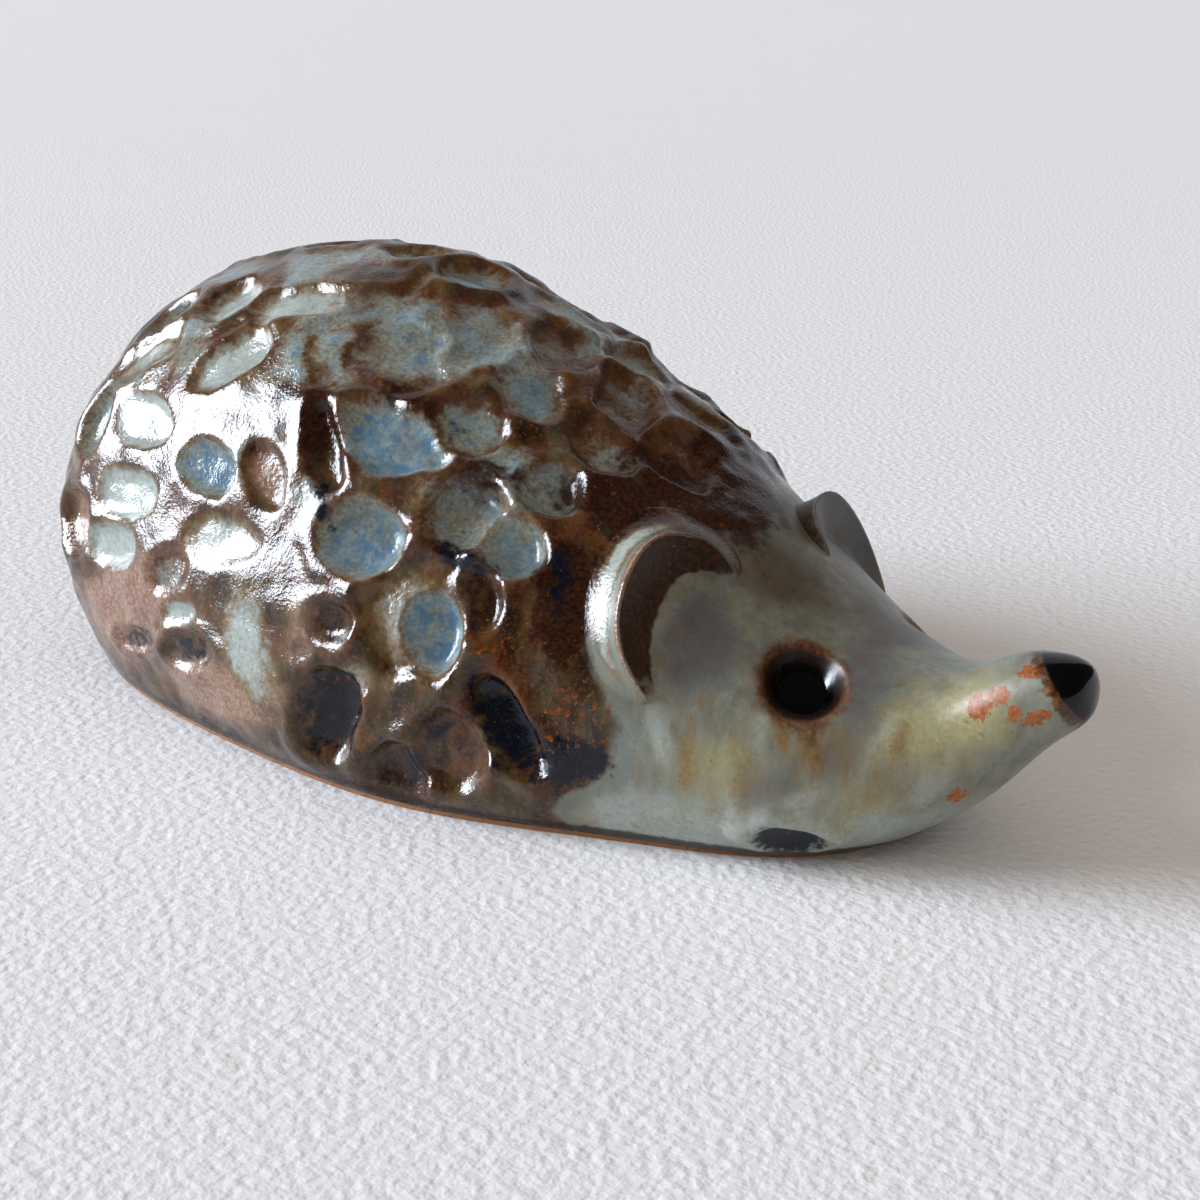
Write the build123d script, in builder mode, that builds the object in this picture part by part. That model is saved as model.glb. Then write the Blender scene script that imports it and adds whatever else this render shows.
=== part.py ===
from build123d import *
import math
import os

# Hedgehog figurine, a hollow hand-built stoneware ornament that stands on its flat foot.
# +Z is up and +X points to the nose. The origin is on the foot's plane, under the middle of the length.

os.makedirs("parts", exist_ok=True)

# Runs along the body, each measured from the station before it, the first from the tail's end
RUMP_RUN = 13.5
BACK_RUN = 20.0
SHOULDER_RUN = 18.0
BROW_RUN = 16.0
SNOUT_RUN = 12.0
MUZZLE_RUN = 7.0
NOSE_RUN = 5.5
TIP_RUN = 3.0

# Half width of the body at each station
RUMP_HALF_WIDTH = 23.25
BACK_HALF_WIDTH = 25.0
SHOULDER_HALF_WIDTH = 23.0
BROW_HALF_WIDTH = 16.5
SNOUT_HALF_WIDTH = 11.25
MUZZLE_HALF_WIDTH = 6.0
NOSE_HALF_WIDTH = 3.6

# Height of the ridge of the back at each station
RUMP_TOP = 35.5
BACK_TOP = 37.5
SHOULDER_TOP = 30.5
BROW_TOP = 21.25
SNOUT_TOP = 15.0
MUZZLE_TOP = 15.25
NOSE_TOP = 17.5

# Height of the widest line at each station, and of the two ends
TAIL_LEVEL = 11.75
RUMP_LEVEL = 11.5
BACK_LEVEL = 11.0
SHOULDER_LEVEL = 8.5
BROW_LEVEL = 7.25
SNOUT_LEVEL = 7.0
MUZZLE_LEVEL = 9.5
NOSE_LEVEL = 13.75
TIP_LEVEL = 15.5

# Half size of the small blunt spot at each end, and how full the ends are drawn
TAIL_BLUNT = 3.0
TIP_BLUNT = 0.8
TAIL_FULLNESS = 1.8
TIP_FULLNESS = 1.2

# Pinched wall, base slab and the vent that lets hot air out of the hollow in the kiln
WALL = 5.0
HOLLOW_FRONT_RUN = 12.0
SLAB_THICKNESS = 4.5
VENT_RADIUS = 3.0
VENT_FROM_TAIL = 40.0

# Eyes: a pressed socket with a pool of black glaze at its bottom
EYE_FROM_TIP = 17.8
EYE_LIFT = 45.0
SOCKET_RADIUS = 2.9
SOCKET_ANGLE = 100.0
POOL_RADIUS = 1.9
POOL_DEPTH = 1.4
SOCKET_DEPTH = 2.2
POOL_CLEARANCE = 0.05
POOL_EDGE = 0.4

# Ears: a ring of clay, tilted so that its front half is sunk in the head
EAR_FROM_TIP = 26.5
EAR_LIFT = 40.0
EAR_RADIUS = 5.25
EAR_HALF_THICKNESS = 1.2
EAR_HALF_HEIGHT = 2.4
EAR_TILT = 38.0
EAR_SINK = 1.6

# Presses that stand for the prickles, all as deep, made with the thumb, a finger and the little finger. Each place has
# its distance from the tail's end and its lift above level in degrees. Those of the sides are on both sides.
PRESS_DEPTH = 1.2
THUMB_MOUTH = 3.8
FINGER_MOUTH = 3.2
LITTLE_MOUTH = 2.7
THUMB_PLACES = [(34.5, 16), (41.5, 65), (45.5, 47), (46.5, 29)]
FINGER_PLACES = [
    (2.5, 35), (11.0, 8), (12.0, 31), (13.0, 58), (19.5, 34), (21.0, 62), (27.5, 48), (29.5, 28), (29.5, 66), (36.5, 34),
    (44.5, 81), (45.5, -2), (53.0, 41), (54.0, 17),
]
LITTLE_PLACES = [
    (0.4, 15), (4.0, 5), (5.5, 62), (18.5, 5), (20.5, 19), (27.0, 7), (50.5, 58), (50.5, 73), (55.5, 1), (57.0, 40),
    (57.0, 55), (57.0, 70), (60.0, 14),
]
RIDGE_PLACES = [(0.6, 90), (4.5, 90), (13.0, 90), (22.0, 90), (31.0, 90), (37.5, 90), (55.0, 90), (61.0, 90)]

# Nose: the dark tip that ends the snout
NOSE_TIP_LENGTH = 2.6
NOSE_SEAM_TILT = 30.0

# Sections through the loft, and points on each section
SECTION_COUNT = 28
OVAL_POINTS = 16

LENGTH = RUMP_RUN + BACK_RUN + SHOULDER_RUN + BROW_RUN + SNOUT_RUN + MUZZLE_RUN + NOSE_RUN + TIP_RUN
TAIL_X = -LENGTH / 2
RUMP_X = TAIL_X + RUMP_RUN
BACK_X = RUMP_X + BACK_RUN
SHOULDER_X = BACK_X + SHOULDER_RUN
BROW_X = SHOULDER_X + BROW_RUN
SNOUT_X = BROW_X + SNOUT_RUN
MUZZLE_X = SNOUT_X + MUZZLE_RUN
NOSE_X = MUZZLE_X + NOSE_RUN
TIP_X = NOSE_X + TIP_RUN

# Stations of the outer form and of the hollow: x, half width, top and level of the widest line
OUTER_STATIONS = [
    (TAIL_X, TAIL_BLUNT, TAIL_LEVEL + TAIL_BLUNT, TAIL_LEVEL),
    (RUMP_X, RUMP_HALF_WIDTH, RUMP_TOP, RUMP_LEVEL),
    (BACK_X, BACK_HALF_WIDTH, BACK_TOP, BACK_LEVEL),
    (SHOULDER_X, SHOULDER_HALF_WIDTH, SHOULDER_TOP, SHOULDER_LEVEL),
    (BROW_X, BROW_HALF_WIDTH, BROW_TOP, BROW_LEVEL),
    (SNOUT_X, SNOUT_HALF_WIDTH, SNOUT_TOP, SNOUT_LEVEL),
    (MUZZLE_X, MUZZLE_HALF_WIDTH, MUZZLE_TOP, MUZZLE_LEVEL),
    (NOSE_X, NOSE_HALF_WIDTH, NOSE_TOP, NOSE_LEVEL),
    (TIP_X, TIP_BLUNT, TIP_LEVEL + TIP_BLUNT, TIP_LEVEL),
]
HOLLOW_STATIONS = [
    (TAIL_X + WALL, TAIL_BLUNT, TAIL_LEVEL + TAIL_BLUNT, TAIL_LEVEL),
    (RUMP_X, RUMP_HALF_WIDTH - WALL, RUMP_TOP - WALL, RUMP_LEVEL),
    (BACK_X, BACK_HALF_WIDTH - WALL, BACK_TOP - WALL, BACK_LEVEL),
    (SHOULDER_X, SHOULDER_HALF_WIDTH - WALL, SHOULDER_TOP - WALL, SHOULDER_LEVEL),
    (SHOULDER_X + HOLLOW_FRONT_RUN, TAIL_BLUNT, BROW_LEVEL + TAIL_BLUNT, BROW_LEVEL),
]


def rail(points, fullness):
    """Smooth side view of one rail of the body, upright at both of its ends."""
    with BuildLine(Plane.XZ) as line:
        Spline(points, tangents=((0, 1), (0, -1)), tangent_scalars=fullness)
    return line.line.edge()


def height_on(curve, x):
    """Height of a rail where the upright plane at x crosses it."""
    return max(point.Z for point in curve.intersect(Plane.YZ.offset(x)))


def oval(x, half_width, top, level):
    """Upright elliptical section of the body at x, centred on its level."""
    turns = [math.tau * step / OVAL_POINTS for step in range(OVAL_POINTS)]
    half_height = top - level
    with BuildSketch(Plane.YZ.offset(x)) as section:
        with BuildLine():
            Spline(
                [(half_width * math.cos(turn), level + half_height * math.sin(turn)) for turn in turns],
                periodic=True,
            )
        make_face()
    return section.sketch


def body_sections(stations, fullness):
    """Sections of a rounded body, closer together at its ends, on rails through the stations."""
    width_rail = rail([(x, half_width) for x, half_width, _, _ in stations], fullness)
    top_rail = rail([(x, top) for x, _, top, _ in stations], fullness)
    with BuildLine(Plane.XZ) as level_line:
        Spline([(x, level) for x, _, _, level in stations])
    level_rail = level_line.line.edge()
    rails = (width_rail, top_rail, level_rail)
    first_x, last_x = stations[0][0], stations[-1][0]
    sections = [oval(*stations[0])]
    for step in range(1, SECTION_COUNT):
        share = (1 - math.cos(math.pi * step / SECTION_COUNT)) / 2
        x = first_x + (last_x - first_x) * share
        sections.append(oval(x, *[height_on(curve, x) for curve in rails]))
    return [*sections, oval(*stations[-1])], level_rail


RIGHT, LEFT = -1, 1

outer_sections, level_rail = body_sections(OUTER_STATIONS, (TAIL_FULLNESS, TIP_FULLNESS))
hollow_sections, _ = body_sections(HOLLOW_STATIONS, (TAIL_FULLNESS, TAIL_FULLNESS))

# Outer form of the whole figurine, cut flat by the plane that it stands on
with BuildPart() as outer_form:
    loft(outer_sections)
    split(bisect_by=Plane.XY, keep=Keep.TOP)

# Hollow inside the pinched wall, rounded off in front where the head is solid
with BuildPart() as hollow:
    loft(hollow_sections)


def seat_plane(from_tip, lift, side):
    """Plane on the body's skin, its z axis straight out of the skin and its x axis towards the nose.

    The seat is from_tip behind the nose and lift degrees above level; side is -1 on the right.
    """
    x = TIP_X - from_tip
    turn = math.radians(lift)
    outwards = Vector(0, side * math.cos(turn), math.sin(turn))
    ray = Axis((x, 0, height_on(level_rail, x)), outwards)
    point, normal = max(outer_form.part.find_intersection_points(ray), key=lambda hit: hit[0].dot(outwards))
    along = Vector(1, 0, 0) - normal * normal.X
    return Plane(point, x_dir=along, z_dir=normal)


def press_plane(place):
    """Plane on the skin of the right side, or of the ridge, at the place of a press."""
    from_tail, lift = place
    return seat_plane(LENGTH - from_tail, lift, RIGHT)


nose_seam = Plane(
    (TIP_X - NOSE_TIP_LENGTH, 0, TIP_LEVEL),
    z_dir=(math.cos(math.radians(NOSE_SEAM_TILT)), 0, math.sin(math.radians(NOSE_SEAM_TILT))),
)
slab_top = Plane.XY.offset(SLAB_THICKNESS)

eye_planes = {side: seat_plane(EYE_FROM_TIP, EYE_LIFT, side) for side in (RIGHT, LEFT)}
ear_planes = {side: seat_plane(EAR_FROM_TIP, EAR_LIFT, side) for side in (RIGHT, LEFT)}

# Base slab: closes the hollow and is the foot
with BuildPart() as base_slab:
    add(outer_form.part)
    split(bisect_by=slab_top, keep=Keep.BOTTOM)
    with Locations((TAIL_X + VENT_FROM_TAIL, 0, SLAB_THICKNESS)):
        Hole(VENT_RADIUS)
base_slab.part.label = "base_slab"
export_step(base_slab.part, "parts/base_slab.step")

# Nose tip
with BuildPart() as nose_tip:
    add(outer_form.part)
    split(bisect_by=nose_seam, keep=Keep.TOP)
nose_tip.part.label = "nose_tip"
export_step(nose_tip.part, "parts/nose_tip.step")

# Bowls that the presses leave, each part of a ball that dips into the skin
with BuildPart() as presses:
    for mouth, places in ((THUMB_MOUTH, THUMB_PLACES), (FINGER_MOUTH, FINGER_PLACES), (LITTLE_MOUTH, LITTLE_PLACES)):
        ball = (mouth**2 + PRESS_DEPTH**2) / (2 * PRESS_DEPTH)
        with Locations(*[press_plane(place).offset(ball - PRESS_DEPTH) for place in places]):
            Sphere(ball)
    mirror(about=Plane.XZ)
    ball = (FINGER_MOUTH**2 + PRESS_DEPTH**2) / (2 * PRESS_DEPTH)
    with Locations(*[press_plane(place).offset(ball - PRESS_DEPTH) for place in RIDGE_PLACES]):
        Sphere(ball)

# Body shell: pinched dome with the head and snout, its presses and the eyes' sockets
with BuildPart() as body_shell:
    add(outer_form.part)
    split(bisect_by=slab_top, keep=Keep.TOP)
    split(bisect_by=nose_seam, keep=Keep.BOTTOM)
    add(hollow.part, mode=Mode.SUBTRACT)
    add(presses.part, mode=Mode.SUBTRACT)
    for plane in eye_planes.values():
        with Locations(plane):
            CounterSinkHole(POOL_RADIUS, SOCKET_RADIUS, SOCKET_DEPTH + POOL_DEPTH, SOCKET_ANGLE)
body_shell.part.label = "body_shell"
export_step(body_shell.part, "parts/body_shell.step")

# Eyes: a pool of glaze on the floor of each socket
for side, name in ((RIGHT, "right_eye"), (LEFT, "left_eye")):
    floor = eye_planes[side].offset(-SOCKET_DEPTH - POOL_DEPTH)
    with BuildPart(floor) as eye:
        Cylinder(POOL_RADIUS - POOL_CLEARANCE, POOL_DEPTH, align=(Align.CENTER, Align.CENTER, Align.MIN))
        fillet(eye.faces().sort_by(Axis(floor.origin, floor.z_dir))[-1].edges(), POOL_EDGE)
    eye.part.label = name
    export_step(eye.part, f"parts/{name}.step")

# Ears: a tilted ring, cut by the head so that a crescent stands out of it
for side, name in ((RIGHT, "right_ear"), (LEFT, "left_ear")):
    ring_plane = ear_planes[side].offset(-EAR_SINK).rotated((0, EAR_TILT, 0))
    with BuildPart() as ear:
        with BuildSketch(Plane(ring_plane.origin, x_dir=ring_plane.x_dir, z_dir=ring_plane.y_dir)):
            with Locations((EAR_RADIUS, 0)):
                Ellipse(EAR_HALF_THICKNESS, EAR_HALF_HEIGHT)
        revolve(axis=Axis(ring_plane.origin, ring_plane.z_dir))
        add(outer_form.part, mode=Mode.SUBTRACT)
    ear.part.label = name
    export_step(ear.part, f"parts/{name}.step")
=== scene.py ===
"""Hedgehog figurine: hollow stoneware, pressed all over its back and glazed in iron brown and blue."""

import logging
import math
from dataclasses import dataclass, field
from enum import Enum

import bmesh
import bpy
import numpy as np
from bmesh.types import BMEdge, BMesh, BMVert
from bpy.types import Material, Node, NodeSocket, NodeTree, Object
from mathutils import Matrix, Vector, noise
from mathutils.bvhtree import BVHTree


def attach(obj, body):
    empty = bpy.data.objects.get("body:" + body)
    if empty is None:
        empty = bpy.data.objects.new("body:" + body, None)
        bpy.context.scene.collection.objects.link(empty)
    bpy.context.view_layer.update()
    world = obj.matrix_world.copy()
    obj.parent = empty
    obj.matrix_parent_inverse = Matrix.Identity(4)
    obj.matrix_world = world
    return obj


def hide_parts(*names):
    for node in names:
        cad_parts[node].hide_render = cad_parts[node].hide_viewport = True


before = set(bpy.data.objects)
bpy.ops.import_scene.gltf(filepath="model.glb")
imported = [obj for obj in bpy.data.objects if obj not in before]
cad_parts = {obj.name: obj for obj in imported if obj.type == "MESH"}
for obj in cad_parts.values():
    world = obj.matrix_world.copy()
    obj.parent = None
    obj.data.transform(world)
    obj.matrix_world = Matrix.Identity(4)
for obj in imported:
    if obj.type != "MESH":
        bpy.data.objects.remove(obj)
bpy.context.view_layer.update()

log = logging.getLogger("hedgehog")

Pair = tuple[float, float]
Triple = tuple[float, float, float]

MM = 0.001

# Size of the bends in the outline of a press or a pool, in millimetres
STRAY_SIZE = 3.6

# How many times its own size a mark may reach, and how far the skin may turn away from it, as a cosine
MARK_REACH = 2.2
MARK_FACING = 0.1

# Half height that a section keeps where the body ends in a point
LEAST_HEIGHT = 1e-6

# Points of a rail from one station to the next
RAIL_STEPS = 200

# Turns a point or a direction to the other side of the animal
FLIP = np.array([1.0, -1.0, 1.0])


def linear(hex_colour: str) -> tuple[float, float, float, float]:
    """Turns an sRGB hex colour to the linear values that a shader takes.

    Args:
        hex_colour: Six hex digits after a hash sign.

    Returns:
        Red, green, blue and a full alpha.
    """
    parts = [int(hex_colour[place:place + 2], 16) / 255 for place in (1, 3, 5)]
    values = [part / 12.92 if part <= 0.04045 else ((part + 0.055) / 1.055) ** 2.4 for part in parts]
    return (*values, 1.0)


def per_mm(size_mm: float) -> float:
    """Texture scale, in Object coordinates in metres, of a pattern that repeats every size_mm."""
    return 1.0 / (size_mm * MM)


def ease(low: float, high: float, values: np.ndarray) -> np.ndarray:
    """Rises smoothly from 0 at low to 1 at high, or falls where low is the larger.

    Args:
        low: Value that gives 0.
        high: Value that gives 1.
        values: Values to ease.

    Returns:
        The eased values.
    """
    share = np.clip((values - low) / (high - low), 0.0, 1.0)
    return share * share * (3.0 - 2.0 * share)


def band(place: float, width: float, values: np.ndarray) -> np.ndarray:
    """Soft band that is 1 at a place and fades out to both sides of it."""
    return np.exp(-(((values - place) / width) ** 2))


def fractal(points: np.ndarray, size: float, octaves: int) -> np.ndarray:
    """Values of a fractal pattern of one size at each point."""
    return np.array([noise.fractal(Vector(point) / size, 1.0, 2.0, octaves) for point in points])


def soften(mesh: BMesh, verts: list[BMVert]) -> None:
    """Moves vertices halfway to the middle of their neighbours."""
    bmesh.ops.smooth_vert(mesh, verts=verts, factor=0.5, use_axis_x=True, use_axis_y=True, use_axis_z=True)


def add_node(
    tree: NodeTree, kind: str, inputs: dict[str | int, object] | None = None, **settings: object
) -> Node:
    """Adds a node with its settings and links.

    Args:
        tree: Node tree that gets the node.
        kind: Type name of the node.
        inputs: For each socket, by name or place, its value, or the node or the output that feeds it.
        settings: Properties of the node.

    Returns:
        The new node.
    """
    node = tree.nodes.new(kind)
    for name, value in settings.items():
        setattr(node, name, value)
    for key, value in (inputs or {}).items():
        if isinstance(value, Node):
            value = next(output for output in value.outputs if output.enabled)
        if isinstance(value, NodeSocket):
            tree.links.new(value, node.inputs[key])
        else:
            node.inputs[key].default_value = value
    return node


def blank_material(name: str) -> tuple[Material, NodeTree]:
    """Makes a node material with nothing in its tree.

    Args:
        name: Name of the material.

    Returns:
        The material and its tree.
    """
    made = bpy.data.materials.new(name)
    made.use_nodes = True
    made.node_tree.nodes.clear()
    return made, made.node_tree


def break_to(
    tree: NodeTree,
    under: Node,
    pattern: Node,
    span: Pair,
    most: float,
    tone: str,
) -> Node:
    """Breaks a colour to another tone where a pattern says so.

    Args:
        tree: Node tree of the material.
        under: Colour so far.
        pattern: Values of the pattern.
        span: Values at which the tone starts and is full.
        most: Share of the tone where it is full.
        tone: The other colour, as a hex value.

    Returns:
        The broken colour.
    """
    limits = {"Value": pattern, "From Min": span[0], "From Max": span[1], "To Max": most}
    share = add_node(tree, "ShaderNodeMapRange", limits)
    return add_node(tree, "ShaderNodeMix", {0: share, 6: under, 7: linear(tone)}, data_type="RGBA")


class Side(Enum):
    """The animal's two sides, with the sign of Y there. The photograph shows the right side."""

    RIGHT = -1
    LEFT = 1


class Tint(Enum):
    """Colours the glaze breaks to, each carrying its mask's name. Tan also paints light on the lower left
    flank.
    """

    BLUE = "blue"
    PALE = "pale"
    IRON = "iron"
    TAN = "tan"
    INK = "ink"
    OCHRE = "ochre"
    LILAC = "lilac"
    OLIVE = "olive"
    SMOKE = "smoke"
    RUST = "rust"
    MILK = "milk"


@dataclass(frozen=True)
class Station:
    """Upright elliptical section of the body, in millimetres."""

    x: float
    half_width: float
    top: float
    level: float


@dataclass(frozen=True)
class Rail:
    """Smooth curve through the stations, in the plane of x and one size of the section."""

    xs: np.ndarray
    values: np.ndarray

    @classmethod
    def through(cls, xs: list[float], values: list[float], fullness: Pair | None) -> "Rail":
        """Draws a rail with even curvature through the stations.

        Args:
            xs: Places of the stations.
            values: The section's size at each of them.
            fullness: How far the rail swells as it leaves its two ends upright, or nothing for a loose end.

        Returns:
            The rail, as close points.
        """
        points = np.stack([xs, values], axis=1)
        steps = np.linalg.norm(np.diff(points, axis=0), axis=1)
        count = len(xs)
        rows = np.zeros((count, count))
        right = np.zeros((count, 2))
        for place in range(1, count - 1):
            before, after = steps[place - 1], steps[place]
            rows[place, place - 1:place + 2] = 1 / before, 2 / before + 2 / after, 1 / after
            right[place] = 3 * (points[place] - points[place - 1]) / before**2
            right[place] += 3 * (points[place + 1] - points[place]) / after**2
        if fullness:
            rows[0, 0] = rows[-1, -1] = 1.0
            right[0], right[-1] = (0.0, fullness[0]), (0.0, -fullness[1])
        else:
            rows[0, :2] = (2.0, 1.0)
            rows[-1, -2:] = (1.0, 2.0)
            right[0] = 3 * (points[1] - points[0]) / steps[0]
            right[-1] = 3 * (points[-1] - points[-2]) / steps[-1]
        slopes = np.linalg.solve(rows, right)
        share = np.linspace(0.0, 1.0, RAIL_STEPS)[:, None]
        spans = []
        for place, step in enumerate(steps):
            spans.append(
                (2 * share**3 - 3 * share**2 + 1) * points[place]
                + (share**3 - 2 * share**2 + share) * step * slopes[place]
                + (3 * share**2 - 2 * share**3) * points[place + 1]
                + (share**3 - share**2) * step * slopes[place + 1]
            )
        curve = np.concatenate(spans)
        return cls(curve[:, 0], curve[:, 1])

    def at(self, x: np.ndarray) -> np.ndarray:
        """Value of the rail at x."""
        return np.interp(x, self.xs, self.values)


@dataclass
class BodyForm:
    """Smooth form that the animal was pinched to, before its back was pressed."""

    stations: tuple[Station, ...] = (
        Station(-47.5, 3.0, 14.75, 11.75),
        Station(-34.0, 23.25, 35.5, 11.5),
        Station(-14.0, 25.0, 37.5, 11.0),
        Station(4.0, 23.0, 30.5, 8.5),
        Station(20.0, 16.5, 21.25, 7.25),
        Station(32.0, 11.25, 15.0, 7.0),
        Station(39.0, 6.0, 15.25, 9.5),
        Station(44.5, 3.6, 17.5, 13.75),
        Station(47.5, 0.8, 16.3, 15.5),
    )
    fullness: Pair = (1.8, 1.2)
    # Share of a ring's points that goes under the foot, and the steepest place where the foot's line can lie
    under_share: float = 0.12
    under_turn: float = math.radians(78)
    # Height of the glaze's lower edge, and the recess behind it that takes the base slab
    edge_height: float = 0.55
    recess: float = 4.4
    # Distances from the foot's edge over which the recess rises, and half widths over which it deepens
    recess_rise: Pair = (0.15, 0.9)
    recess_widths: Pair = (2.0, 9.0)
    # How far the tail's end is domed, and the points that measure the ridge
    tail_dome: float = 0.02
    ridge_steps: int = 2000

    def __post_init__(self) -> None:
        """Draws the rails, and spaces the rings evenly along the ridge."""
        xs = [station.x for station in self.stations]
        self.half_width = Rail.through(xs, [station.half_width for station in self.stations], self.fullness)
        self.top = Rail.through(xs, [station.top for station in self.stations], self.fullness)
        self.level = Rail.through(xs, [station.level for station in self.stations], None)
        fine = xs[0] + (xs[-1] - xs[0]) * (1 - np.cos(np.linspace(0, math.pi, self.ridge_steps))) / 2
        swell = (self.half_width.at(fine) + self.top.at(fine)) / 2
        steps = np.hypot(np.diff(fine), np.diff(swell))
        run = np.concatenate([[0.0], np.cumsum(steps)])
        self.ring_share = np.concatenate([[0.0], run / run[-1]])
        self.ring_x = np.concatenate([[xs[0] - self.tail_dome], fine])

    def section(self, x: np.ndarray) -> tuple[np.ndarray, np.ndarray, np.ndarray]:
        """Sizes of the section at x.

        Args:
            x: Places along the body.

        Returns:
            Half width, half height and level of the widest line.
        """
        level = self.level.at(x)
        return self.half_width.at(x), self.top.at(x) - level, level

    def foot_half_width(self, x: np.ndarray) -> np.ndarray:
        """Half width of the foot's outline at x, nothing where the snout is clear of the floor."""
        half_width, half_height, level = self.section(x)
        return half_width * np.sqrt(np.clip(1 - (level / half_height) ** 2, 0, None))

    def turn_of(self, points: np.ndarray) -> np.ndarray:
        """Finds how far round the body each point lies, the same on both sides.

        Args:
            points: Points on the skin.

        Returns:
            Degrees above the widest line.
        """
        half_width, half_height, level = self.section(points[:, 0])
        rise = (points[:, 2] - level) / half_height
        return np.degrees(np.arctan2(rise, np.abs(points[:, 1]) / half_width))

    def skin(self, along: np.ndarray, turn: np.ndarray) -> np.ndarray:
        """Points on the form, for a ball's rings and meridians.

        Args:
            along: Share of the way from the tail to the nose.
            turn: Angle from the left side, up over the back, from minus half a turn to half a turn.

        Returns:
            Points in millimetres, one a row.
        """
        x = np.interp(along, self.ring_share, self.ring_x)
        half_width, half_height, level = self.section(x)
        at_end = (along <= 0) | (along >= 1)
        half_width = np.where(at_end, 0.0, half_width)
        half_height = np.where(at_end, LEAST_HEIGHT, half_height)
        drop = np.clip((level - self.edge_height) / half_height, 0, math.sin(self.under_turn))
        low = np.arcsin(drop)
        under = math.pi * self.under_share
        lowest = math.pi / 2 - under
        from_left = np.where(turn < -math.pi / 2, turn + math.tau, turn)
        over = (from_left + lowest) / (math.pi + 2 * lowest)
        angle = -low + over * (math.pi + 2 * low)
        below = (over < 0) | (over > 1)
        past_right = from_left - math.pi - lowest
        past_left = math.tau - (math.pi + 2 * lowest) + from_left + lowest
        gap = np.where(over > 1, past_right, past_left)
        share = np.clip(gap / (2 * under), 0, 1)
        angle = np.where(below, math.pi + low + share * (math.pi - 2 * low), angle)
        y = half_width * np.cos(angle)
        z = level + half_height * np.sin(angle)
        stands = level - half_height * math.sin(self.under_turn) < self.edge_height
        reach = half_width * np.cos(low)
        inwards = np.minimum(share, 1 - share) * 2 * reach
        ceiling = self.recess * ease(*self.recess_rise, inwards) * ease(*self.recess_widths, reach)
        y = np.where(below & stands, reach * (2 * share - 1), y)
        z = np.where(below & stands, self.edge_height + ceiling, np.maximum(z, self.edge_height))
        return np.stack([x, y, z], axis=1)


@dataclass(frozen=True)
class PhotoCamera:
    """Camera that took the photograph, found from the figurine's outline. Lengths are in millimetres."""

    azimuth: float = 41.717
    elevation: float = 18.017
    distance: float = 150.056
    aim_height: float = 15.0
    pan: float = 1.281
    tilt: float = -1.602
    roll: float = 0.914
    focal_px: float = 1800.0
    frame_px: float = 1200.0
    sensor: float = 36.0

    def axes(self) -> tuple[Vector, Vector, Vector, Vector]:
        """Works out where the camera stands and how it is turned.

        Returns:
            Its place, and its directions to the right, upwards and forwards.
        """
        turn, rise = math.radians(self.azimuth), math.radians(self.elevation)
        back = Vector((math.sin(turn) * math.cos(rise), -math.cos(turn) * math.cos(rise), math.sin(rise)))
        place = back * self.distance + Vector((0, 0, self.aim_height))
        right = Vector((math.cos(turn), math.sin(turn), 0))
        up = right.cross(-back)
        forward = (math.radians(self.pan) * right + math.radians(self.tilt) * up - back).normalized()
        right = forward.cross(Vector((0, 0, 1))).normalized()
        up = right.cross(forward)
        lean = math.radians(self.roll)
        return (
            place,
            right * math.cos(lean) + up * math.sin(lean),
            up * math.cos(lean) - right * math.sin(lean),
            forward,
        )

    def ray(self, x: float, y: float) -> tuple[Vector, Vector]:
        """Line of sight through one point of the photograph.

        Args:
            x: Pixels from the left edge.
            y: Pixels from the top edge.

        Returns:
            The camera's place and the direction of sight.
        """
        place, right, up, forward = self.axes()
        middle = self.frame_px / 2
        sight = forward + right * ((x - middle) / self.focal_px) - up * ((y - middle) / self.focal_px)
        return place, sight.normalized()

    def place(self) -> None:
        """Puts the camera in the scene and makes it the scene's own."""
        place, right, up, forward = self.axes()
        camera = bpy.data.objects.new("photo_camera", bpy.data.cameras.new("photo_camera"))
        camera.data.sensor_width = self.sensor
        camera.data.lens = self.focal_px / self.frame_px * self.sensor
        camera.data.clip_start = 0.01
        turned = Matrix((right, up, -forward)).transposed().to_4x4()
        camera.matrix_world = Matrix.Translation(place * MM) @ turned
        bpy.context.scene.collection.objects.link(camera)
        bpy.context.scene.camera = camera


@dataclass(frozen=True)
class Mark:
    """A press of the tool or a pool of glaze, where the photograph shows it.

    The centre and half sizes are pixels of the photograph, the turn is degrees clockwise there, and the depth
    and the rim that the press throws up are millimetres. A mark with no depth is only a wash of colour. The
    stray is the share of its size by which its outline wanders, and the lean is the share by which a press is
    deeper on its right.
    """

    x: float
    y: float
    half_width: float
    half_height: float
    tint: Tint
    depth: float = 0.0
    turn: float = 0.0
    strength: float = 1.0
    rim: float = 0.3
    stray: float = 0.22
    lean: float = 0.3


def wash(
    x: float,
    y: float,
    half_width: float,
    half_height: float,
    tint: Tint,
    turn: float,
    strength: float,
    stray: float = 0.22,
) -> Mark:
    """Mark with no press under it, only colour."""
    return Mark(x, y, half_width, half_height, tint, 0.0, turn, strength, stray=stray)


@dataclass(frozen=True)
class HiddenPress:
    """A press that the photograph hardly shows, on both sides of the back unless it is on the ridge.

    It is placed by its distance from the tail's end in millimetres and by its lift round the body in degrees.
    """

    from_tail: float
    lift: float
    radius: float
    tint: Tint
    depth: float = 0.9


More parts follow.
